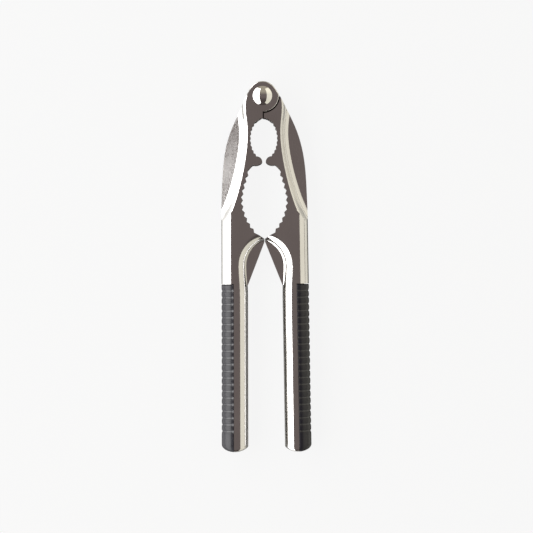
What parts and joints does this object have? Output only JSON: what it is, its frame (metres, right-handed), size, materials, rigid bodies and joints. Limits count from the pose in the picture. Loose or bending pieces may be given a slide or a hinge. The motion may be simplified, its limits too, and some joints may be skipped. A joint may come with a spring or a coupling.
{
  "type": "nutcracker",
  "caption": "Two-arm die-cast nutcracker with a riveted hinge, a small and a large toothed nest, flared jaw flanks and ribbed rubber inserts on the outer sides of the handles",
  "frame": {"origin": "middle of the footprint of the closed nutcracker, on the surface that it lies on", "axes": "+X to the right arm, +Y along the length from the handles to the hinge, +Z out of the front face, away from the surface"},
  "size_m": [0.045, 0.1855, 0.0157],
  "materials": {
    "satin_casting": "zinc die casting, satin gunmetal-grey plate, polished on the rounded shoulders",
    "grip_rubber": "dark slate moulded rubber with cross ribs",
    "polished_rivet": "polished domed steel",
    "washer_steel": "turned steel"
  },
  "bodies": {
    "left_lever": {"left_arm": "satin_casting", "left_grip": "grip_rubber", "hinge_rivet": "polished_rivet", "rivet_washer": "washer_steel"},
    "right_lever": {"right_arm": "satin_casting", "right_grip": "grip_rubber"}
  },
  "joints": [
    {"name": "jaw_hinge", "type": "hinge", "parent": "left_lever", "child": "right_lever", "pos_m": [-0.00045, 0.0855, 0.0067], "axis": [0, 0, 1], "range_deg": [0, 100]}
  ]
}
